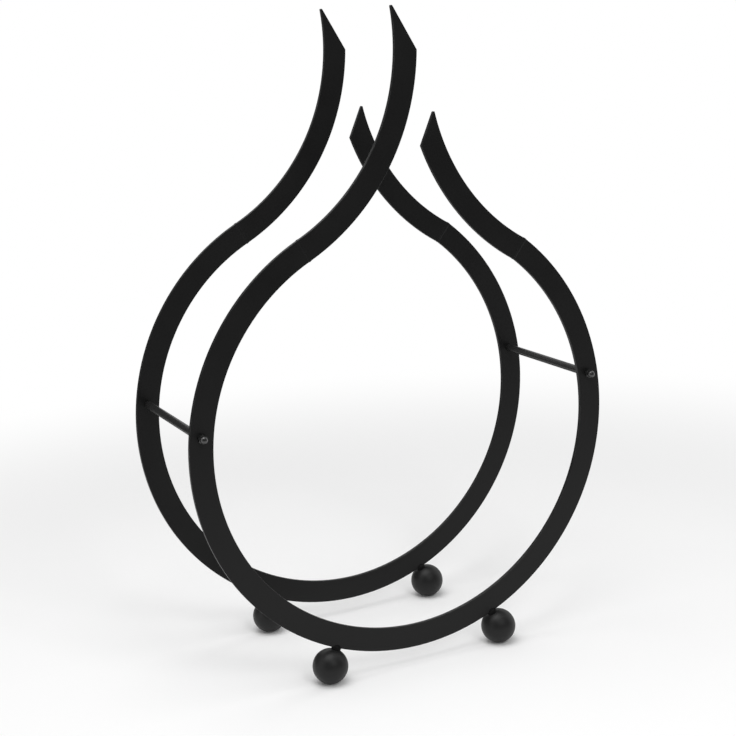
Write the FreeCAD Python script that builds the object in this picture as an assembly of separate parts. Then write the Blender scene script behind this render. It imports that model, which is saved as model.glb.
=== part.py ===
import FreeCAD, Part
import math
import os
from FreeCAD import Vector

# Firewood rack. Two flame-shaped hoops of flat bar stand one behind the other on ball feet.
# Two cross rods with dome nuts hold the hoops apart, and the two rings together make a round cradle.
# X points right, Y from the front hoop to the back hoop, Z up. The origin is on the floor, in the middle.
# Lengths are in millimetres and angles in degrees.

# Flat bar of the hoops, wide face to the front, with every arc rolled to one centre-line radius
BAR_WIDTH = 30.0
BAR_THICKNESS = 5.0
BAR_EDGE_EASE = 0.6
RING_RADIUS = 270.0

# Distance between the two hoops, from the middle of one bar's thickness to the other's
HOOP_SPACING = 200.0

# Arms: angle from the ring's top at which each is welded on, sweep from there to its point,
# and how far along the bar the slanting cut runs back from the point.
# The tall arm runs on smoothly from the ring, and the short arm turns off it at a slight elbow.
TALL_ARM_ANGLE = 27.3
TALL_ARM_SWEEP_ANGLE = 72.1
TALL_ARM_SLANT = 60.0
SHORT_ARM_ANGLE = 38.9
SHORT_ARM_ELBOW_ANGLE = 8.4
SHORT_ARM_SWEEP_ANGLE = 48.0
SHORT_ARM_SLANT = 36.0
TIP_ROUND = 1.2

# Butt welds between ring and arms: gap between the bar ends, and how far the bead stands proud
WELD_GAP = 4.0
WELD_CROWN = 0.4

# Cross rods: height of their axis above the ring's centre, and the threaded ends
ROD_DIAMETER = 10.0
ROD_RISE = 35.0
THREAD_DIAMETER = 6.0
THREAD_CHAMFER = 0.7
THREAD_REACH = 7.0
BAR_HOLE_CLEARANCE = 0.3
THREAD_CLEARANCE = 0.05

# Dome nuts on the threaded ends
NUT_ACROSS_FLATS = 10.0
NUT_HEX_HEIGHT = 5.0
NUT_HEIGHT = 12.0
NUT_DOME_DIAMETER = 9.4
NUT_BORE_DEPTH = 8.0
NUT_BEVEL_ANGLE = 30.0

# Ball feet with a small flat to stand on, and the stubs that carry them:
# each stub is slotted at its top and sits over the ring's outer edge
FOOT_ANGLE = 23.1
FOOT_GAP = 2.0
BALL_DIAMETER = 45.0
BALL_FLAT_DIAMETER = 10.0
STUB_DIAMETER = 12.0
STUB_SLOT_DEPTH = 4.0
STUB_TOP_CHAMFER = 2.5
STUB_REACH = 14.0
STUB_CLEARANCE = 0.1
STUB_END_GAP = 0.5

# Sizes and places worked out from the ones above
BAR_INNER = RING_RADIUS - BAR_WIDTH / 2
BAR_OUTER = RING_RADIUS + BAR_WIDTH / 2
WELD_TURN = math.degrees(WELD_GAP / 2 / RING_RADIUS)
BALL_RADIUS = BALL_DIAMETER / 2
BALL_STAND = math.sqrt(BALL_RADIUS ** 2 - (BALL_FLAT_DIAMETER / 2) ** 2)
FOOT_REACH = BAR_OUTER + FOOT_GAP + BALL_RADIUS
RING_CENTRE = Vector(0, 0, FOOT_REACH * math.cos(math.radians(FOOT_ANGLE)) + BALL_STAND)
ROD_ANGLE = math.degrees(math.acos(ROD_RISE / RING_RADIUS))
ALONG_Y = Vector(0, 1, 0)

# Points closer together than this count as one when edges are picked
SAME_PLACE = 0.01

# Sides as seen from the front, and ends of the rack along Y
SIDES = {"left": -1, "right": 1}
ENDS = {"front": -1, "back": 1}


def polar(centre, radius, angle):
    """Point at a radius from a centre, at an angle from straight up towards +X."""
    turn = math.radians(angle)
    return centre + Vector(radius * math.sin(turn), 0, radius * math.cos(turn))


def arc(centre, radius, start, end):
    """Arc about a centre, from one angle to another."""
    points = [polar(centre, radius, angle) for angle in (start, (start + end) / 2, end)]
    return Part.Arc(*points).toShape()


def line(start, end):
    """Straight edge between two points."""
    return Part.LineSegment(start, end).toShape()


def edges_over(shape, point):
    """Edges of a plate whose middle lies on the line through a point along Y."""
    found = []
    for edge in shape.Edges:
        offset = edge.CenterOfMass - point
        if math.hypot(offset.x, offset.z) < SAME_PLACE:
            found.append(edge)
    return found


def bar_piece(outline, weld_ends, tips):
    """Bar cut to an outline: its tips are rounded, its long edges eased, and its weld ends stay square."""
    face = Part.Face(Part.Wire(outline))
    face.translate(ALONG_Y * (-BAR_THICKNESS / 2))
    bar = face.extrude(ALONG_Y * BAR_THICKNESS)
    if tips:
        corners = [edge for tip in tips for edge in edges_over(bar, tip)]
        bar = bar.makeFillet(TIP_ROUND, corners)
    square = [edge for end in weld_ends for edge in edges_over(bar, end)]
    rims = [edge for edge in bar.Edges
            if edge.BoundBox.YLength < SAME_PLACE and not any(edge.isSame(other) for other in square)]
    return bar.makeChamfer(BAR_EDGE_EASE, rims)


def ring():
    """Round lower part of a hoop, open at the top, with a hole for each cross rod."""
    start = SHORT_ARM_ANGLE + WELD_TURN
    end = 360 - TALL_ARM_ANGLE - WELD_TURN
    outline = [
        arc(RING_CENTRE, BAR_OUTER, start, end),
        line(polar(RING_CENTRE, BAR_OUTER, end), polar(RING_CENTRE, BAR_INNER, end)),
        arc(RING_CENTRE, BAR_INNER, end, start),
        line(polar(RING_CENTRE, BAR_INNER, start), polar(RING_CENTRE, BAR_OUTER, start)),
    ]
    weld_ends = [polar(RING_CENTRE, RING_RADIUS, angle) for angle in (start, end)]
    bar = bar_piece(outline, weld_ends, [])
    for side in SIDES.values():
        middle = polar(RING_CENTRE, RING_RADIUS, side * ROD_ANGLE)
        hole = Part.makeCylinder(THREAD_DIAMETER / 2 + BAR_HOLE_CLEARANCE, 2 * BAR_THICKNESS,
                                 middle - ALONG_Y * BAR_THICKNESS, ALONG_Y)
        bar = bar.cut(hole)
    return bar


def arm_centre(side, angle, elbow):
    """Centre of an arm's arc, which leaves the ring at an angle and turns off it by an elbow."""
    joint = polar(RING_CENTRE, RING_RADIUS, side * angle)
    return polar(joint, RING_RADIUS, side * (angle - elbow))


def arm(side, angle, sweep, slant, elbow=0.0):
    """Arm that leaves the ring on one side, curves the other way and ends in a slanting point."""
    centre = arm_centre(side, angle, elbow)
    joint = side * (angle - elbow - 180)
    start = joint + side * WELD_TURN
    tip = joint + side * sweep
    corner = tip - side * math.degrees(slant / RING_RADIUS)
    tip_point = polar(centre, BAR_INNER, tip)
    corner_point = polar(centre, BAR_OUTER, corner)
    outline = [
        arc(centre, BAR_INNER, start, tip),
        line(tip_point, corner_point),
        arc(centre, BAR_OUTER, corner, start),
        line(polar(centre, BAR_OUTER, start), polar(centre, BAR_INNER, start)),
    ]
    return bar_piece(outline, [polar(centre, RING_RADIUS, start)], [tip_point, corner_point])


def bar_section(middle, angle, crown=0.0):
    """Outline of the bar cut across, its width at an angle from straight up, grown all round by a crown."""
    across = polar(Vector(), 1, angle)
    width = BAR_WIDTH / 2 + crown
    thickness = BAR_THICKNESS / 2 + crown
    half = [
        (width, thickness - BAR_EDGE_EASE),
        (width - BAR_EDGE_EASE, thickness),
        (BAR_EDGE_EASE - width, thickness),
        (-width, thickness - BAR_EDGE_EASE),
    ]
    other_half = [(-along, -out) for along, out in half]
    corners = [middle + across * along + ALONG_Y * out for along, out in half + other_half]
    return Part.makePolygon(corners + corners[:1])


def butt_weld(side, angle, elbow=0.0):
    """Bead that fills the gap between a ring and an arm, slightly proud of the bar all round."""
    joint = polar(RING_CENTRE, RING_RADIUS, side * angle)
    ring_end = side * (angle + WELD_TURN)
    arm_end = ring_end - side * elbow
    return Part.makeLoft([
        bar_section(polar(RING_CENTRE, RING_RADIUS, ring_end), ring_end),
        bar_section(joint, side * (angle - elbow / 2), WELD_CROWN),
        bar_section(polar(arm_centre(side, angle, elbow), RING_RADIUS, arm_end - 180), arm_end),
    ], True)


def turned(profile):
    """Solid turned about Y from (radius, height along Y) points, closed along its axis."""
    points = [Vector(radius, height, 0) for radius, height in profile]
    outline = Part.makePolygon(points + points[:1])
    return Part.Face(outline).revolve(Vector(), ALONG_Y, 360)


def cross_rod():
    """Rod along Y: full size between the bars, with a threaded end through each."""
    shoulder = (HOOP_SPACING - BAR_THICKNESS) / 2
    tip = shoulder + BAR_THICKNESS + THREAD_REACH
    full = ROD_DIAMETER / 2
    thread = THREAD_DIAMETER / 2
    half = [
        (full, shoulder),
        (thread, shoulder),
        (thread, tip - THREAD_CHAMFER),
        (thread - THREAD_CHAMFER, tip),
        (0, tip),
    ]
    other_half = [(radius, -height) for radius, height in reversed(half)]
    return turned(half + other_half)


def dome_nut():
    """Nut along Y with its seat at the origin: a hexagon, a dome and a blind bore."""
    flat = NUT_ACROSS_FLATS / 2
    corner = flat / math.cos(math.radians(30))
    corners = [polar(Vector(), corner, 60 * step) for step in range(7)]
    hexagon = Part.Face(Part.makePolygon(corners)).extrude(ALONG_Y * NUT_HEX_HEIGHT)
    bevel = (corner - flat) * math.tan(math.radians(NUT_BEVEL_ANGLE))
    bevelled = hexagon.common(turned([
        (0, 0),
        (flat, 0),
        (corner, bevel),
        (corner, NUT_HEX_HEIGHT - bevel),
        (flat, NUT_HEX_HEIGHT),
        (0, NUT_HEX_HEIGHT),
    ]))
    dome_radius = NUT_DOME_DIAMETER / 2
    dome_start = NUT_HEIGHT - dome_radius
    neck = Part.makeCylinder(dome_radius, dome_start, Vector(), ALONG_Y)
    dome = Part.makeSphere(dome_radius, ALONG_Y * dome_start, ALONG_Y, 0, 90)
    bore = Part.makeCylinder(THREAD_DIAMETER / 2 + THREAD_CLEARANCE, NUT_BORE_DEPTH, Vector(), ALONG_Y)
    return bevelled.fuse([neck, dome]).cut(bore).removeSplitter()


def foot_axis(side):
    """Direction from the ring's centre down to a foot."""
    return polar(Vector(), 1, 180 - side * FOOT_ANGLE)


def foot_stub(side):
    """Round stub that reaches into the ball, with a chamfered top slotted over the ring's outer edge."""
    axis = foot_axis(side)
    radius = STUB_DIAMETER / 2
    top = RING_CENTRE + axis * (BAR_OUTER - STUB_SLOT_DEPTH)
    shoulder = top + axis * STUB_TOP_CHAMFER
    length = STUB_SLOT_DEPTH + FOOT_GAP + STUB_REACH
    chamfer = Part.makeCone(radius - STUB_TOP_CHAMFER, radius, STUB_TOP_CHAMFER, top, axis)
    peg = Part.makeCylinder(radius, length - STUB_TOP_CHAMFER, shoulder, axis)
    slot_width = BAR_THICKNESS + 2 * STUB_CLEARANCE
    slot = Part.makeCylinder(BAR_OUTER, slot_width, RING_CENTRE - ALONG_Y * (slot_width / 2), ALONG_Y)
    return peg.fuse(chamfer).cut(slot)


def ball_foot(side):
    """Ball with a flat underneath and a bore for its stub."""
    axis = foot_axis(side)
    centre = RING_CENTRE + axis * FOOT_REACH
    flat_angle = -math.degrees(math.asin(BALL_STAND / BALL_RADIUS))
    ball = Part.makeSphere(BALL_RADIUS, centre, Vector(0, 0, 1), flat_angle, 90)
    bore = Part.makeCylinder(STUB_DIAMETER / 2 + STUB_CLEARANCE, BALL_RADIUS + STUB_REACH + STUB_END_GAP,
                             centre - axis * (2 * BALL_RADIUS), axis)
    return ball.cut(bore)


def save(shape, name, x=0.0, y=0.0, z=0.0):
    """Write a copy of a piece, moved to its place."""
    piece = shape.copy()
    piece.translate(Vector(x, y, z))
    piece.exportStep("parts/%s.step" % name)


os.makedirs("parts", exist_ok=True)

hoop_ring = ring()
tall_arm = arm(SIDES["left"], TALL_ARM_ANGLE, TALL_ARM_SWEEP_ANGLE, TALL_ARM_SLANT)
short_arm = arm(SIDES["right"], SHORT_ARM_ANGLE, SHORT_ARM_SWEEP_ANGLE, SHORT_ARM_SLANT,
                SHORT_ARM_ELBOW_ANGLE)
tall_weld = butt_weld(SIDES["left"], TALL_ARM_ANGLE)
short_weld = butt_weld(SIDES["right"], SHORT_ARM_ANGLE, SHORT_ARM_ELBOW_ANGLE)

for end, towards in ENDS.items():
    hoop_y = towards * HOOP_SPACING / 2
    save(hoop_ring, end + "_ring", y=hoop_y)
    save(tall_arm, end + "_tall_arm", y=hoop_y)
    save(short_arm, end + "_short_arm", y=hoop_y)
    save(tall_weld, end + "_tall_weld", y=hoop_y)
    save(short_weld, end + "_short_weld", y=hoop_y)

rod = cross_rod()
nut = dome_nut()
for side_name, side in SIDES.items():
    rod_place = polar(RING_CENTRE, RING_RADIUS, side * ROD_ANGLE)
    save(rod, side_name + "_cross_rod", x=rod_place.x, z=rod_place.z)
    for end, towards in ENDS.items():
        name = end + "_" + side_name
        hoop_y = towards * HOOP_SPACING / 2
        end_nut = nut if towards > 0 else nut.mirror(Vector(), ALONG_Y)
        seat_y = hoop_y + towards * BAR_THICKNESS / 2
        save(end_nut, name + "_dome_nut", x=rod_place.x, y=seat_y, z=rod_place.z)
        save(foot_stub(side), name + "_foot_stub", y=hoop_y)
        save(ball_foot(side), name + "_ball_foot", y=hoop_y)
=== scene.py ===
import math

import bmesh
import bpy
from mathutils import Matrix, Vector


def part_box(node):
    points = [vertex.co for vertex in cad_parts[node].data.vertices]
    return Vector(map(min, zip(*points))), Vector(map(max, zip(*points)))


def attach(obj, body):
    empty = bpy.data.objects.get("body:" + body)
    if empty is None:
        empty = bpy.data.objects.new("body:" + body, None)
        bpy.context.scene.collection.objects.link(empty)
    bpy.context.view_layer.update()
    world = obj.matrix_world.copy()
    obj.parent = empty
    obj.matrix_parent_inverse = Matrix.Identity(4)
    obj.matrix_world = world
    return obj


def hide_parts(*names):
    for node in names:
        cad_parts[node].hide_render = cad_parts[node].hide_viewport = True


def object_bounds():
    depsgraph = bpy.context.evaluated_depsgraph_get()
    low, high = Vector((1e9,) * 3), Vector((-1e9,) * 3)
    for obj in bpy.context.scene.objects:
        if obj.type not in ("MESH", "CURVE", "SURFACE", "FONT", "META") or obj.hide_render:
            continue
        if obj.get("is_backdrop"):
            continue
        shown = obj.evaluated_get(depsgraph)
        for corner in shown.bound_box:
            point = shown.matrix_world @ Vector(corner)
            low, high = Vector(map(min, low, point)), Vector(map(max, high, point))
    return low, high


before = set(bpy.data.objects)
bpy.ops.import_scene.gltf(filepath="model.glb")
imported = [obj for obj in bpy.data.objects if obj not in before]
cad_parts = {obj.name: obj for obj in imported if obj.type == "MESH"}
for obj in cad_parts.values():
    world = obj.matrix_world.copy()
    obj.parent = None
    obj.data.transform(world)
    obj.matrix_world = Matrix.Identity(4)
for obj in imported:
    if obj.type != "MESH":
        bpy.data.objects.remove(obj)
cad_low, cad_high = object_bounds()


# Rings: the round lower part of each hoop, open at the top where the arms go on.
# Mild steel flat bar, rolled on edge to one radius, so its wide face looks to the front.
# Its long edges are slightly round from the mill, its ends sawn square, its sides drilled for the rods.
MM = 0.001
BAR_WIDTH = 30 * MM
BAR_EDGE_ROUND = 0.6 * MM
BAR_EDGE_SEGMENTS = 3
BAR_STEP = math.radians(2)
TALL_JOINT = math.radians(27.3)
SHORT_JOINT = math.radians(38.9)
WELD_LENGTH = 4 * MM
ROD_HOLE_RADIUS = 3.3 * MM
ROD_HOLE_ROOM = 12 * MM
ROD_HOLE_SEGMENTS = 32
SQUARE_ON = 0.999  # cosine of the most that a wide face may lean
SHARP_ANGLE = math.radians(35)
UNIT_SQUARE = 0.5  # half its side, as create_grid takes it
ALONG_Y = Vector((0, 1, 0))
ENDS = ("front", "back")
SIDES = ("left", "right")

ring_low, ring_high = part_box("front_ring")
BAR_THICKNESS = ring_high.y - ring_low.y
RING_RADIUS = (ring_high.x - ring_low.x - BAR_WIDTH) / 2
RING_CENTRE = Vector((0, 0, ring_low.z + RING_RADIUS + BAR_WIDTH / 2))
WELD_TURN = WELD_LENGTH / 2 / RING_RADIUS


def hoop_middle(end):
    """Middle of one hoop's thickness, along Y."""
    low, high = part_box(end + "_ring")
    return ALONG_Y * (low.y + high.y) / 2


def polar(centre, radius, angle):
    """Point at a radius from a centre, at an angle from straight up towards +X."""
    return centre + Vector((math.sin(angle), 0, math.cos(angle))) * radius


def bar_axes(angle):
    """Axes of a rolled bar at an angle: X across its width, Y through its thickness, Z along it."""
    across = polar(Vector(), 1, angle)
    return Matrix((across, ALONG_Y, across.cross(ALONG_Y))).transposed().to_4x4()


def rolled_bar(centre, start, turn):
    """Square-edged flat bar, rolled about a centre from one angle through a turn."""
    bm = bmesh.new()
    place = Matrix.Translation(polar(centre, RING_RADIUS, start)) @ bar_axes(start)
    section = place @ Matrix.Diagonal((BAR_WIDTH, BAR_THICKNESS, 1, 1))
    bmesh.ops.create_grid(bm, x_segments=1, y_segments=1, size=UNIT_SQUARE, matrix=section)
    steps = math.ceil(abs(turn) / BAR_STEP)
    bmesh.ops.spin(bm, geom=bm.verts[:] + bm.edges[:] + bm.faces[:], cent=centre, axis=ALONG_Y,
                   angle=turn, steps=steps)
    bmesh.ops.recalc_face_normals(bm, faces=bm.faces)
    return bm


def looks_along_y(face):
    """1 or -1 for a wide face of the bar, which looks straight along Y, and 0 for any other face."""
    return round(face.normal.y) if abs(face.normal.y) > SQUARE_ON else 0


def round_long_edges(bm, weld_ends):
    """Rounds the edges round the wide faces, but not at the weld ends, and marks the round faces."""
    def is_weld_end(face):
        return any((face.calc_center_median() - end).length < MM for end in weld_ends)

    rims = []
    for edge in bm.edges:
        narrow = [face for face in edge.link_faces if not looks_along_y(face)]
        if len(narrow) == 1 and not is_weld_end(narrow[0]):
            rims.append(edge)
    rounded = bmesh.ops.bevel(bm, geom=rims, offset=BAR_EDGE_ROUND, affect="EDGES",
                              segments=BAR_EDGE_SEGMENTS, profile=0.5, material=-1)
    mark = bm.loops.layers.float.new("rounded_edge")
    for face in rounded["faces"]:
        for loop in face.loops:
            loop[mark] = 1


def drill(bm, middle):
    """Drills a hole for a rod's end along Y, through the two wide faces of the bar."""
    rims = []
    for towards in (-1, 1):
        centre = middle + ALONG_Y * towards * BAR_THICKNESS / 2
        around = [face for face in bm.faces if looks_along_y(face) == towards
                  and (face.calc_center_median() - centre).length < ROD_HOLE_ROOM]
        edges = dict.fromkeys(edge for face in around for edge in face.edges)
        outline = [edge for edge in edges if not all(face in around for face in edge.link_faces)]
        bmesh.ops.delete(bm, geom=around, context="FACES")
        upright = Matrix.Translation(centre) @ Matrix.Rotation(math.pi / 2, 4, "X")
        circle = bmesh.ops.create_circle(bm, segments=ROD_HOLE_SEGMENTS, radius=ROD_HOLE_RADIUS,
                                         matrix=upright)
        rim = list(dict.fromkeys(edge for vert in circle["verts"] for edge in vert.link_edges))
        bmesh.ops.triangle_fill(bm, edges=outline + rim, use_beauty=True)
        rims += rim
    bmesh.ops.bridge_loops(bm, edges=rims)
    bmesh.ops.recalc_face_normals(bm, faces=bm.faces)


def make_object(bm, name, material):
    """Turns a mesh into an object of one material."""
    mesh = bpy.data.meshes.new(name)
    bm.to_mesh(mesh)
    bm.free()
    mesh.materials.append(material)
    made = bpy.data.objects.new(name, mesh)
    bpy.context.scene.collection.objects.link(made)
    return made


def finish_piece(bm, name, material, replaced, shift=Vector()):
    """Turns a mesh into a smooth-shaded piece that stands for a CAD node."""
    bmesh.ops.translate(bm, vec=shift, verts=bm.verts)
    piece = make_object(bm, name, material)
    piece.data.shade_smooth()
    piece.data.set_sharp_from_angle(angle=SHARP_ANGLE)
    normals = piece.modifiers.new("flat faces stay flat", "WEIGHTED_NORMAL")
    normals.keep_sharp = True
    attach(piece, "root")
    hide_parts(replaced)


def linear(colour):
    """sRGB hex colour as the linear values that the shaders take."""
    values = [int(colour[place:place + 2], 16) / 255 for place in (1, 3, 5)]
    return [v / 12.92 if v <= 0.04045 else ((v + 0.055) / 1.055) ** 2.4 for v in values] + [1]


def add_node(tree, kind, settings=None, values=None, links=None):
    """Adds a node with its settings, the values of its sockets and the outputs linked to them."""
    node = tree.nodes.new(kind)
    for name, setting in (settings or {}).items():
        setattr(node, name, setting)
    for socket, value in (values or {}).items():
        node.inputs[socket].default_value = value
    for socket, output in (links or {}).items():
        tree.links.new(output, node.inputs[socket])
    return node


# Satin black powder coat, sprayed on and baked: a dense black with a soft sheen.
# It flows into a faint orange peel, its sheen is a little uneven, and it thins over edges.
# The real peel is too fine to show from here, so it is drawn about three times as coarse.
PEEL_SIZE = 3 * MM
PEEL_HEIGHT = 0.01 * MM
PEEL_DETAIL = 2
CLOUD_SIZE = 60 * MM
CLOUD_DETAIL = 4
CLOUD_RANGE = (0.3, 0.7)
CLOUD_THINNING = 0.1
SCUFF_SIZE = 9 * MM
SCUFF_DETAIL = 6
SCUFF_RANGE = (0.4, 0.65)


def powder_coat(name, black, thin_black, sheen, matt, gloss):
    """Powder coat between two blacks, with a roughness that drifts from sheen to matt."""
    material = bpy.data.materials.new(name)
    material.use_nodes = True
    tree = material.node_tree
    shader = tree.nodes["Principled BSDF"]
    shader.inputs["Specular IOR Level"].default_value = gloss
    place = add_node(tree, "ShaderNodeTexCoord").outputs["Object"]
    clouds, scuffs, peel = [
        add_node(tree, "ShaderNodeTexNoise", values={"Scale": 1 / size, "Detail": detail},
                 links={"Vector": place}).outputs["Fac"]
        for size, detail in ((CLOUD_SIZE, CLOUD_DETAIL), (SCUFF_SIZE, SCUFF_DETAIL),
                             (PEEL_SIZE, PEEL_DETAIL))
    ]
    edge = add_node(tree, "ShaderNodeAttribute", {"attribute_name": "rounded_edge"}).outputs["Fac"]
    patches = add_node(tree, "ShaderNodeMapRange",
                       values={"From Min": SCUFF_RANGE[0], "From Max": SCUFF_RANGE[1]},
                       links={"Value": scuffs}).outputs["Result"]
    worn = add_node(tree, "ShaderNodeMath", {"operation": "MULTIPLY"},
                    links={0: edge, 1: patches}).outputs["Value"]
    thin = add_node(tree, "ShaderNodeMath", {"operation": "MULTIPLY_ADD", "use_clamp": True},
                    values={1: CLOUD_THINNING}, links={0: clouds, 2: worn}).outputs["Value"]
    colour = add_node(tree, "ShaderNodeMix", {"data_type": "RGBA"},
                      values={"A": linear(black), "B": linear(thin_black)}, links={"Factor": thin})
    rough = add_node(tree, "ShaderNodeMapRange",
                     values={"From Min": CLOUD_RANGE[0], "From Max": CLOUD_RANGE[1],
                             "To Min": sheen, "To Max": matt},
                     links={"Value": clouds}).outputs["Result"]
    bump = add_node(tree, "ShaderNodeBump", values={"Distance": PEEL_HEIGHT}, links={"Height": peel})
    tree.links.new(colour.outputs["Result"], shader.inputs["Base Color"])
    tree.links.new(rough, shader.inputs["Roughness"])
    tree.links.new(bump.outputs["Normal"], shader.inputs["Normal"])
    return material


bar_coat = powder_coat("satin black powder coat on flat bar", "#101010", "#2A2A2A",
                       sheen=0.38, matt=0.44, gloss=0.22)

for end in ENDS:
    first = SHORT_JOINT + WELD_TURN
    turn = 2 * math.pi - SHORT_JOINT - TALL_JOINT - 2 * WELD_TURN
    ring = rolled_bar(RING_CENTRE, first, turn)
    round_long_edges(ring, [polar(RING_CENTRE, RING_RADIUS, angle) for angle in (first, first + turn)])
    for side in SIDES:
        low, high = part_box(side + "_cross_rod")
        drill(ring, (low + high) / 2)
    finish_piece(ring, end + "_ring_bar", bar_coat, end + "_ring", hoop_middle(end))


# Arms: a tall one on the left and a short one on the right finish each hoop like a flame.
# The same flat bar, rolled the other way: the tall arm meets the ring in a smooth S,
# the short one at a slight elbow. Each top is cut at a slant, and its point dressed round with a file.
TIP_ROUND = 1.25 * MM
TIP_FLAT = 0.2 * MM
TIP_SEGMENTS = 4
CUT_SLACK = 0.0003 * MM
ARMS = {
    "tall": {"side": -1, "joint": TALL_JOINT, "elbow": 0,
             "sweep": math.radians(72.1), "slant": 60 * MM},
    "short": {"side": 1, "joint": SHORT_JOINT, "elbow": math.radians(8.4),
              "sweep": math.radians(48.0), "slant": 36 * MM},
}


def arm_centre(size):
    """Centre of an arm's arc, which leaves the ring at its joint and turns off it by its elbow."""
    joint = polar(RING_CENTRE, RING_RADIUS, size["side"] * size["joint"])
    return polar(joint, RING_RADIUS, size["side"] * (size["joint"] - size["elbow"]))


def cut_off(bm, point, facing):
    """Cuts off what a plane through a point faces, closes the cut and gives the face that does."""
    cut = bmesh.ops.bisect_plane(bm, geom=bm.verts[:] + bm.edges[:] + bm.faces[:], dist=CUT_SLACK,
                                 plane_co=point, plane_no=facing.normalized(), clear_outer=True)
    rim = [item for item in cut["geom_cut"] if isinstance(item, bmesh.types.BMEdge)]
    made = bmesh.ops.contextual_create(bm, geom=rim)
    bmesh.ops.recalc_face_normals(bm, faces=bm.faces)
    return made["faces"][0]


def edges_along(shape, axis):
    """Edges of a mesh or a face that run along an axis, by more than a millimetre."""
    return [edge for edge in shape.edges if abs((edge.verts[0].co - edge.verts[1].co).dot(axis)) > MM]


def dress_tip(bm, slant, tip):
    """Files the sharp end of a slanting cut blunt, as far back as an arc fits it, and rounds it off."""
    sharp = min(edges_along(slant, ALONG_Y), key=lambda edge: (edge.verts[0].co - tip).length)
    half_angle = (math.pi - sharp.calc_face_angle()) / 2
    outward = sum((face.normal for face in sharp.link_faces), Vector()).normalized()
    filed = TIP_ROUND / math.sin(half_angle) - TIP_ROUND
    nose = cut_off(bm, tip - outward * filed, outward)
    half_flat = filed * math.tan(half_angle)
    bmesh.ops.bevel(bm, geom=edges_along(nose, ALONG_Y), offset=half_flat - TIP_FLAT / 2, affect="EDGES",
                    segments=TIP_SEGMENTS, profile=0.5, material=-1)


for end in ENDS:
    for name, size in ARMS.items():
        side = size["side"]
        centre = arm_centre(size)
        joint = side * (size["joint"] - size["elbow"] - math.pi)
        first = joint + side * WELD_TURN
        last = joint + side * size["sweep"]
        back = last - side * size["slant"] / RING_RADIUS
        point = polar(centre, RING_RADIUS - BAR_WIDTH / 2, last)
        corner = polar(centre, RING_RADIUS + BAR_WIDTH / 2, back)
        arm = rolled_bar(centre, first, last - first)
        slant = cut_off(arm, point, ALONG_Y.cross(corner - point) * side)
        dress_tip(arm, slant, point)
        round_long_edges(arm, [polar(centre, RING_RADIUS, first)])
        node = end + "_" + name + "_arm"
        finish_piece(arm, node + "_bar", bar_coat, node, hoop_middle(end))


# Butt welds: a bead joins each arm to its ring, and at an elbow it is a wedge, wider outside.
# Weld metal under the same powder coat, run across the bar and dressed almost flush.
# What shows is a slight swelling with faint ripples.
WELD_CROWN = 0.4 * MM
WELD_RIPPLE = 2.2 * MM
RIPPLE_SHARE = 0.25
CUTS_ALONG_WELD = 39
CUTS_OVER_WELD = 7
ALONG_X = Vector((1, 0, 0))
UP = Vector((0, 0, 1))

for end in ENDS:
    for name, size in ARMS.items():
        bead = bmesh.new()
        bmesh.ops.create_cube(bead, size=1,
                              matrix=Matrix.Diagonal((BAR_WIDTH, BAR_THICKNESS, WELD_LENGTH, 1)))
        bmesh.ops.bevel(bead, geom=edges_along(bead, UP), offset=BAR_EDGE_ROUND, affect="EDGES",
                        segments=BAR_EDGE_SEGMENTS, profile=0.5, material=-1)
        for axis, cuts in ((UP, CUTS_OVER_WELD), (ALONG_X, CUTS_ALONG_WELD)):
            bmesh.ops.subdivide_edges(bead, edges=edges_along(bead, axis), cuts=cuts, use_grid_fill=True)
        for vert in bead.verts:
            swell = 1 - (2 * vert.co.z / WELD_LENGTH) ** 2
            ripple = 1 - RIPPLE_SHARE * math.cos(2 * math.pi * vert.co.x / WELD_RIPPLE)
            outward = Vector((vert.co.x / BAR_WIDTH, vert.co.y / BAR_THICKNESS, 0)) * 2
            vert.co.z *= 1 + math.tan(size["elbow"] / 2) * vert.co.x / (WELD_LENGTH / 2)
            vert.co += outward * WELD_CROWN * swell * ripple
        ring_end = size["side"] * (size["joint"] + WELD_TURN)
        arm_end = ring_end - size["side"] * size["elbow"]
        ring_side = polar(RING_CENTRE, RING_RADIUS, ring_end)
        arm_side = polar(arm_centre(size), RING_RADIUS, arm_end - math.pi)
        place = Matrix.Translation((ring_side + arm_side) / 2) @ bar_axes((ring_end + arm_end) / 2)
        bmesh.ops.transform(bead, matrix=place, verts=bead.verts)
        node = end + "_" + name + "_weld"
        finish_piece(bead, node + "_bead", bar_coat, node, hoop_middle(end))


# Cross rods: one on each side, near the rings' widest height, to hold the two hoops apart.
# Round mild steel bar, turned down at both ends to a threaded spigot that goes through the flat bar.
# The shoulder that is left seats on the hoop's inner face.
SHOULDER_EASE = 0.3 * MM
SPIGOT_RADIUS = 3 * MM
SPIGOT_CHAMFER = 0.7 * MM
TURN_STEPS = 96
MERGE_REACH = 0.001 * MM


def draw_profile(bm, points):
    """Draws a line through (radius, height) points beside the Z axis, and gives its last vertex."""
    vert = bmesh.ops.create_vert(bm, co=(points[0][0], 0, points[0][1]))["vert"][0]
    for radius, height in points[1:]:
        vert = bmesh.ops.extrude_vert_indiv(bm, verts=[vert])["verts"][0]
        vert.co = (radius, 0, height)
    return vert


def turn_profile(bm):
    """Turns a drawn profile, whose two ends lie on the Z axis, into a closed solid."""
    bmesh.ops.spin(bm, geom=bm.verts[:] + bm.edges[:], cent=Vector(), axis=UP,
                   angle=2 * math.pi, steps=TURN_STEPS, use_merge=True)
    bmesh.ops.remove_doubles(bm, verts=bm.verts, dist=MERGE_REACH)
    bmesh.ops.recalc_face_normals(bm, faces=bm.faces)


rod_coat = powder_coat("satin black powder coat on round bar", "#1A1A1A", "#303030",
                       sheen=0.38, matt=0.44, gloss=0.32)

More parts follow.
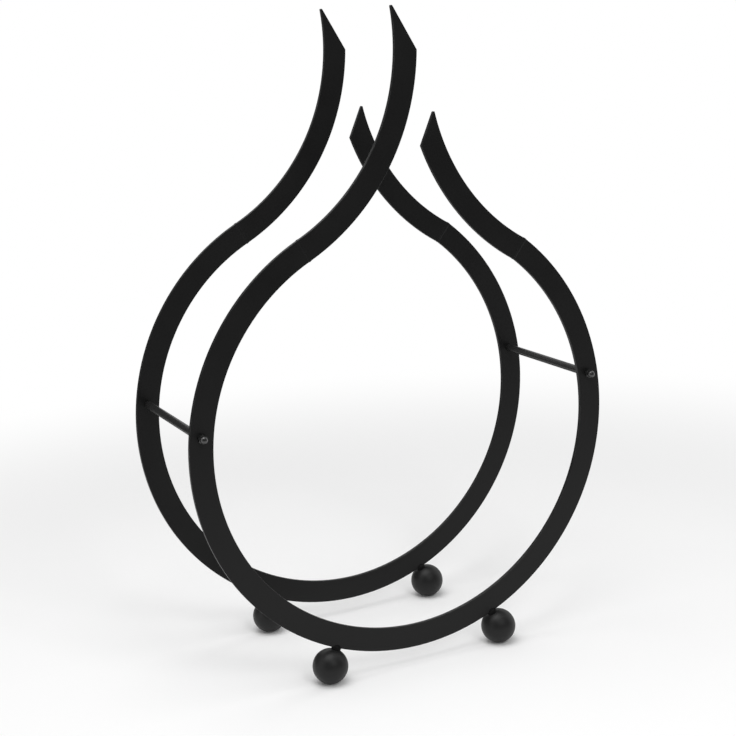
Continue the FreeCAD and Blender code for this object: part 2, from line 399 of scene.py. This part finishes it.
for side in SIDES:
    low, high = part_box(side + "_cross_rod")
    radius = (high.z - low.z) / 2
    tip = (high.y - low.y) / 2
    shoulder = (hoop_middle("back") - hoop_middle("front")).y / 2 - BAR_THICKNESS / 2
    half = [
        (0, tip),
        (SPIGOT_RADIUS - SPIGOT_CHAMFER, tip),
        (SPIGOT_RADIUS, tip - SPIGOT_CHAMFER),
        (SPIGOT_RADIUS, shoulder),
        (radius - SHOULDER_EASE, shoulder),
        (radius, shoulder - SHOULDER_EASE),
    ]
    rod = bmesh.new()
    draw_profile(rod, half + [(out, -along) for out, along in reversed(half)])
    turn_profile(rod)
    place = Matrix.Translation((low + high) / 2) @ Matrix.Rotation(math.pi / 2, 4, "X")
    bmesh.ops.transform(rod, matrix=place, verts=rod.verts)
    finish_piece(rod, side + "_rod", rod_coat, side + "_cross_rod")


# Dome nuts: one on each spigot closes it off and pulls the hoop against the rod's shoulder.
# Cold-formed steel with a black finish, smoother than the coat, so its dome catches the light.
# Turned first, with a bevel at both ends of the hexagon, which its six flats then cut into arcs.
NUT_ACROSS_FLATS = 10 * MM
NUT_FLATS = 6
NUT_HEX_HEIGHT = 5 * MM
NUT_BLANK_RADIUS = 5.7 * MM
NUT_SEAT_RADIUS = 4.85 * MM
NUT_BEVEL_ANGLE = math.radians(30)
NUT_DOME_RADIUS = 4.7 * MM
NUT_DOME_STEPS = 16
NUT_BORE_RADIUS = 3.05 * MM
NUT_BORE_DEPTH = 8 * MM
NUT_GLOSS = 0.85
NUT_ROUGHNESS = (0.10, 0.18)
SPECKLE_SIZE = 1.2 * MM
SPECKLE_DETAIL = 5
SPECKLE_HEIGHT = 0.003 * MM


def black_oxide(name):
    """Oiled black oxide on a nut: dark, smooth, with fine speckles where the oil lies thin."""
    material = bpy.data.materials.new(name)
    material.use_nodes = True
    tree = material.node_tree
    shader = tree.nodes["Principled BSDF"]
    shader.inputs["Specular IOR Level"].default_value = NUT_GLOSS
    place = add_node(tree, "ShaderNodeTexCoord").outputs["Object"]
    speckle = add_node(tree, "ShaderNodeTexNoise",
                       values={"Scale": 1 / SPECKLE_SIZE, "Detail": SPECKLE_DETAIL},
                       links={"Vector": place}).outputs["Fac"]
    colour = add_node(tree, "ShaderNodeMix", {"data_type": "RGBA"},
                      values={"A": linear("#141414"), "B": linear("#262626")},
                      links={"Factor": speckle})
    rough = add_node(tree, "ShaderNodeMapRange",
                     values={"To Min": NUT_ROUGHNESS[0], "To Max": NUT_ROUGHNESS[1]},
                     links={"Value": speckle}).outputs["Result"]
    bump = add_node(tree, "ShaderNodeBump", values={"Distance": SPECKLE_HEIGHT},
                    links={"Height": speckle})
    tree.links.new(colour.outputs["Result"], shader.inputs["Base Color"])
    tree.links.new(rough, shader.inputs["Roughness"])
    tree.links.new(bump.outputs["Normal"], shader.inputs["Normal"])
    return material


nut_finish = black_oxide("black oxide on a dome nut")

for end in ENDS:
    for side in SIDES:
        node = end + "_" + side + "_dome_nut"
        low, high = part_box(node)
        dome_start = high.y - low.y - NUT_DOME_RADIUS
        bevel = (NUT_BLANK_RADIUS - NUT_SEAT_RADIUS) * math.tan(NUT_BEVEL_ANGLE)
        nut = bmesh.new()
        dome_foot = draw_profile(nut, [
            (0, NUT_BORE_DEPTH),
            (NUT_BORE_RADIUS, NUT_BORE_DEPTH),
            (NUT_BORE_RADIUS, 0),
            (NUT_SEAT_RADIUS, 0),
            (NUT_BLANK_RADIUS, bevel),
            (NUT_BLANK_RADIUS, NUT_HEX_HEIGHT - bevel),
            (NUT_SEAT_RADIUS, NUT_HEX_HEIGHT),
            (NUT_DOME_RADIUS, NUT_HEX_HEIGHT),
            (NUT_DOME_RADIUS, dome_start),
        ])
        bmesh.ops.spin(nut, geom=[dome_foot], cent=UP * dome_start, axis=ALONG_Y,
                       angle=-math.pi / 2, steps=NUT_DOME_STEPS)
        turn_profile(nut)
        for flat in range(NUT_FLATS):
            facing = Matrix.Rotation(flat * 2 * math.pi / NUT_FLATS, 3, "Z") @ ALONG_X
            cut_off(nut, facing * NUT_ACROSS_FLATS / 2, facing)
        outward = ALONG_Y if end == "back" else -ALONG_Y
        seat = Vector(((low.x + high.x) / 2, low.y if end == "back" else high.y, (low.z + high.z) / 2))
        axes = Matrix((UP.cross(outward), UP, outward)).transposed().to_4x4()
        bmesh.ops.transform(nut, matrix=Matrix.Translation(seat) @ axes, verts=nut.verts)
        finish_piece(nut, node + "_closed", nut_finish, node)


# Foot stubs: short pegs that carry the balls, slotted at the top to sit over the ring's outer edge.
# Round mild steel bar, turned and welded on. Its coat is matt, and painted darker than the bar's,
# so painted shade makes a dark neck above each ball, between bar and ball.
STUB_RADIUS = 6 * MM
STUB_REACH = 14 * MM
STUB_END_EASE = 0.5 * MM
STUB_TOP_CHAMFER = 2.5 * MM
STUB_TOP_EASE = 0.3 * MM
STUB_SIDE_EASE = 0.1 * MM
SLOT_DEPTH = 4 * MM
SLOT_CLEARANCE = 0.1 * MM
FLAT_ANGLE = math.radians(0.1)


def ball_middle(end, side):
    """Middle of a ball foot, and its radius."""
    low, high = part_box(end + "_" + side + "_ball_foot")
    radius = (high.x - low.x) / 2
    return Vector(((low.x + high.x) / 2, (low.y + high.y) / 2, high.z - radius)), radius


def lean_to_ring(middle):
    """Place of a ball, turned so that Z points to the middle of its ring."""
    lean = math.atan2(-middle.x, RING_CENTRE.z - middle.z)
    return Matrix.Translation(middle) @ Matrix.Rotation(lean, 4, "Y")


def cut_slot(bm, half_width, floor):
    """Cuts a slot along X into the top of a peg, and closes its floor and its two walls."""
    def lies_on(vert, plane):
        return abs(vert.co.dot(plane[0]) - plane[1]) < CUT_SLACK

    bottom = (UP, floor)
    walls = ((ALONG_Y, half_width), (-ALONG_Y, half_width))
    for facing, reach in (bottom, *walls):
        bmesh.ops.bisect_plane(bm, geom=bm.verts[:] + bm.edges[:] + bm.faces[:], dist=CUT_SLACK,
                               plane_co=facing * reach, plane_no=facing)
    middles = {face: face.calc_center_median() for face in bm.faces}
    milled = [face for face, middle in middles.items() if abs(middle.y) < half_width and middle.z > floor]
    bmesh.ops.delete(bm, geom=milled, context="FACES")
    rim = [edge for edge in bm.edges if edge.is_boundary]
    rim_verts = dict.fromkeys(vert for edge in rim for vert in edge.verts)
    for wall in walls:
        corners = [vert for vert in rim_verts if lies_on(vert, wall) and lies_on(vert, bottom)]
        rim += bmesh.ops.contextual_create(bm, geom=corners)["edges"]
    for plane in (bottom, *walls):
        outline = [edge for edge in rim if all(lies_on(vert, plane) for vert in edge.verts)]
        bmesh.ops.contextual_create(bm, geom=outline)
    bmesh.ops.dissolve_limit(bm, angle_limit=FLAT_ANGLE, verts=bm.verts, edges=bm.edges)
    bmesh.ops.recalc_face_normals(bm, faces=bm.faces)


# The neck's darker black is painted shade, where bar and ball shade the stub.
neck_coat_painted_shade = powder_coat("matt black powder coat on necks", "#090909", "#161616",
                        sheen=0.60, matt=0.70, gloss=0.12)

for end in ENDS:
    for side in SIDES:
        middle, radius = ball_middle(end, side)
        foot = radius - STUB_REACH
        bar_edge = (RING_CENTRE + hoop_middle(end) - middle).length - RING_RADIUS - BAR_WIDTH / 2
        top = bar_edge + SLOT_DEPTH
        stub = bmesh.new()
        draw_profile(stub, [
            (0, foot),
            (STUB_RADIUS - STUB_END_EASE, foot),
            (STUB_RADIUS, foot + STUB_END_EASE),
            (STUB_RADIUS, top - STUB_TOP_CHAMFER - STUB_TOP_EASE),
            (STUB_RADIUS - STUB_SIDE_EASE, top - STUB_TOP_CHAMFER),
            (STUB_RADIUS - STUB_TOP_CHAMFER, top - STUB_TOP_EASE),
            (STUB_RADIUS - STUB_TOP_CHAMFER - STUB_TOP_EASE, top),
            (0, top),
        ])
        turn_profile(stub)
        cut_slot(stub, BAR_THICKNESS / 2 + SLOT_CLEARANCE, bar_edge)
        bmesh.ops.transform(stub, matrix=lean_to_ring(middle), verts=stub.verts)
        node = end + "_" + side + "_foot_stub"
        finish_piece(stub, node + "_slotted", neck_coat_painted_shade, node)


# Ball feet: four solid balls that the rack stands on, each bored to take its stub.
# Turned mild steel, pressed on and powder coated, with a small flat that sits on the floor.
BORE_RADIUS = 6.1 * MM
BORE_DEPTH = 14.5 * MM
BALL_STEPS = 48

ball_coat = powder_coat("satin black powder coat on balls", "#171717", "#2E2E2E",
                        sheen=0.40, matt=0.46, gloss=0.26)

for end in ENDS:
    for side in SIDES:
        node = end + "_" + side + "_ball_foot"
        middle, radius = ball_middle(end, side)
        mouth = math.asin(BORE_RADIUS / radius)
        ball = bmesh.new()
        mouth_rim = draw_profile(ball, [
            (0, radius - BORE_DEPTH),
            (BORE_RADIUS, radius - BORE_DEPTH),
            (BORE_RADIUS, radius * math.cos(mouth)),
        ])
        bmesh.ops.spin(ball, geom=[mouth_rim], cent=Vector(), axis=ALONG_Y,
                       angle=math.pi - mouth, steps=BALL_STEPS)
        turn_profile(ball)
        bmesh.ops.transform(ball, matrix=lean_to_ring(middle), verts=ball.verts)
        cut_off(ball, UP * cad_low.z, -UP)
        finish_piece(ball, node + "_turned", ball_coat, node)


# Floor: a sheet of white paper that the rack stands on. It keeps the soft shadow near the feet
# and turns to plain white further out, so that no far edge shows.
FLOOR_RADIUS = 12.0
FLOOR_SEGMENTS = 96
SHADOW_REACH = 0.7
WHITE_FROM = 1.6


def seen_or_mirrored(tree):
    """1 for rays from the camera, from a gloss and through glass, and 0 for those that gather light."""
    rays = add_node(tree, "ShaderNodeLightPath").outputs
    seen = rays["Is Camera Ray"]
    for kind in ("Is Glossy Ray", "Is Transmission Ray"):
        seen = add_node(tree, "ShaderNodeMath", {"operation": "MAXIMUM"},
                        links={0: seen, 1: rays[kind]}).outputs["Value"]
    return seen


paper = bpy.data.materials.new("white paper")
paper.use_nodes = True
tree = paper.node_tree
tree.nodes.clear()
place = add_node(tree, "ShaderNodeTexCoord").outputs["Object"]
distance = add_node(tree, "ShaderNodeVectorMath", {"operation": "LENGTH"}, links={0: place})
away = add_node(tree, "ShaderNodeMapRange", {"interpolation_type": "SMOOTHSTEP"},
                {"From Min": SHADOW_REACH, "From Max": WHITE_FROM},
                {"Value": distance.outputs["Value"]}).outputs["Result"]
plain = add_node(tree, "ShaderNodeMath", {"operation": "MULTIPLY"},
                 links={0: away, 1: seen_or_mirrored(tree)})
matt = add_node(tree, "ShaderNodeBsdfDiffuse", values={"Color": linear("#FAFAFA")})
white = add_node(tree, "ShaderNodeEmission", values={"Strength": 1})
surface = add_node(tree, "ShaderNodeMixShader",
                   links={0: plain.outputs["Value"], 1: matt.outputs["BSDF"],
                          2: white.outputs["Emission"]})
add_node(tree, "ShaderNodeOutputMaterial", links={"Surface": surface.outputs["Shader"]})

sheet = bmesh.new()
bmesh.ops.create_circle(sheet, cap_ends=True, segments=FLOOR_SEGMENTS, radius=FLOOR_RADIUS)
make_object(sheet, "floor", paper)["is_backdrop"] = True


# Studio light: an even white room, a large soft box overhead and a smaller one in front, above the lens.
# The room is plain white where it is seen or mirrored, and dimmer as a source of light.
ROOM_LIGHT = 0.55
SOFT_BOXES = {
    "overhead": {"place": (-0.5, -0.3, 2.6), "size": 1.8, "power": 30},
    "front": {"place": (0.1, -2.2, 1.9), "size": 1.0, "power": 16},
}

world = bpy.data.worlds.new("white room")
bpy.context.scene.world = world
world.use_nodes = True
tree = world.node_tree
tree.nodes.clear()
strength = add_node(tree, "ShaderNodeMapRange", values={"To Min": ROOM_LIGHT, "To Max": 1},
                    links={"Value": seen_or_mirrored(tree)})
room = add_node(tree, "ShaderNodeBackground", values={"Color": (1, 1, 1, 1)},
                links={"Strength": strength.outputs["Result"]})
add_node(tree, "ShaderNodeOutputWorld", links={"Surface": room.outputs["Background"]})

aim = (cad_low + cad_high) / 2
for name, box in SOFT_BOXES.items():
    lamp = bpy.data.lights.new(name + " soft box", "AREA")
    lamp.size = box["size"]
    lamp.energy = box["power"]
    holder = bpy.data.objects.new(name + " soft box", lamp)
    holder.location = box["place"]
    holder.rotation_euler = (aim - holder.location).to_track_quat("-Z", "Y").to_euler()
    bpy.context.scene.collection.objects.link(holder)


# Dark screens: dimly glowing panels that stand upright in front of the rack and behind it.
# They show only in the sheen of the pieces, as a painted reflection of the dim parts of a room,
# and neither take light from them nor throw a shadow.
SCREEN_LIGHT = 0.12
SCREENS = {
    "front": {"place": (0, -1.1, 1.0), "size": (5.0, 2.6)},
    "tall_back": {"place": (-1.5, 1.1, 0.7), "size": (2.4, 1.4)},
    "low_back": {"place": (1.1, 1.1, 0.2), "size": (2.8, 0.4)},
}

# A dim glow that only reflections see: painted reflection of a dark room.
dim_reflection = bpy.data.materials.new("dim room seen only in reflections")
dim_reflection.use_nodes = True
dim_reflection.node_tree.nodes.clear()
glow = add_node(dim_reflection.node_tree, "ShaderNodeEmission", values={"Strength": SCREEN_LIGHT})
add_node(dim_reflection.node_tree, "ShaderNodeOutputMaterial", links={"Surface": glow.outputs["Emission"]})
for name, reflected_panel in SCREENS.items():
    panel = bmesh.new()
    upright = Matrix.Translation(reflected_panel["place"]) @ Matrix.Rotation(math.pi / 2, 4, "X")
    bmesh.ops.create_grid(panel, x_segments=1, y_segments=1, size=UNIT_SQUARE,
                          matrix=upright @ Matrix.Diagonal((*reflected_panel["size"], 1, 1)))
    screen = make_object(panel, name + "_screen", dim_reflection)
    screen.visible_camera = False
    screen.visible_diffuse = False
    screen.visible_shadow = False
    screen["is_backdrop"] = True


# Camera: on the photograph's line of sight, left of the front and a little above,
# with a long lens and a slight roll.
VIEW_AZIMUTH = math.radians(-25.21)
VIEW_ELEVATION = math.radians(12.85)
VIEW_ROLL = math.radians(-3.01)
VIEW_DISTANCE = 2.027
VIEW_LENS = 76.88
VIEW_TARGET = RING_CENTRE + Vector((-0.0009, 0, 0.06213))

lens = bpy.data.cameras.new("camera")
lens.lens = VIEW_LENS
camera = bpy.data.objects.new("camera", lens)
view = Matrix.Rotation(VIEW_AZIMUTH, 4, "Z") @ Matrix.Rotation(math.pi / 2 - VIEW_ELEVATION, 4, "X")
camera.matrix_world = (Matrix.Translation(VIEW_TARGET) @ view @ Matrix.Rotation(VIEW_ROLL, 4, "Z")
                       @ Matrix.Translation((0, 0, VIEW_DISTANCE)))
bpy.context.scene.collection.objects.link(camera)
bpy.context.scene.camera = camera
bpy.context.scene.view_settings.view_transform = "Standard"


# Size: the dressed model's box, found the same way
# as the CAD model's box above.
low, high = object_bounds()
